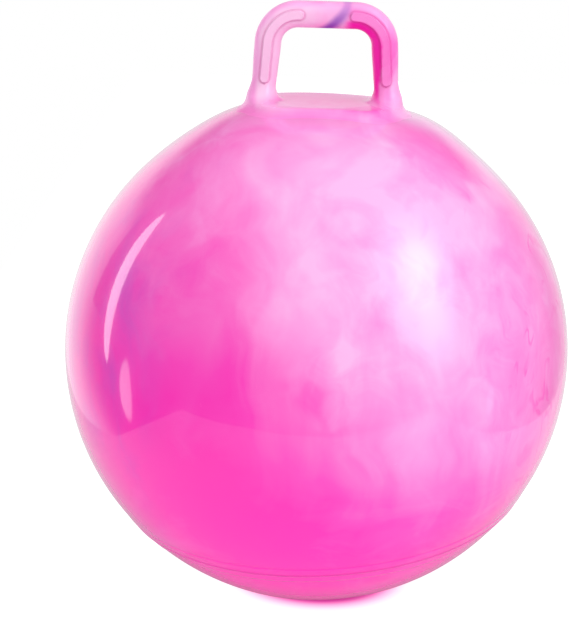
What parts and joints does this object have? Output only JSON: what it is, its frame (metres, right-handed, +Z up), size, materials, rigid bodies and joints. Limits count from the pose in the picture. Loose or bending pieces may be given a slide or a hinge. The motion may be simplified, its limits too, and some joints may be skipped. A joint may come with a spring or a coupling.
{
  "type": "hopper ball",
  "caption": "Inflated hopper ball of glossy marbled vinyl with a looped carry handle on its crown, a raised mould seam and a push-in air plug behind the handle.",
  "frame": {"origin": "centre of the flat patch on the underside that the ball rests on", "axes": "+Z up through the ball's middle to the handle, X along the handle's grip bar, -Y towards the viewer of the picture, +Y towards the side of the crown that carries the valve"},
  "size_m": [0.4499, 0.4498, 0.5336],
  "materials": {
    "ball_vinyl": "gloss",
    "handle_vinyl": "gloss",
    "seat_vinyl": "satin",
    "plug_vinyl": "satin"
  },
  "bodies": {
    "ball": {"ball_skin": "ball_vinyl", "handle": "handle_vinyl", "valve_seat": "seat_vinyl"},
    "plug": {"valve_plug": "plug_vinyl"}
  },
  "joints": [
    {"name": "plug_slide", "type": "slide", "parent": "ball", "child": "plug", "axis": [0, 0.5878, 0.809], "range_m": [0, 0.04]}
  ]
}
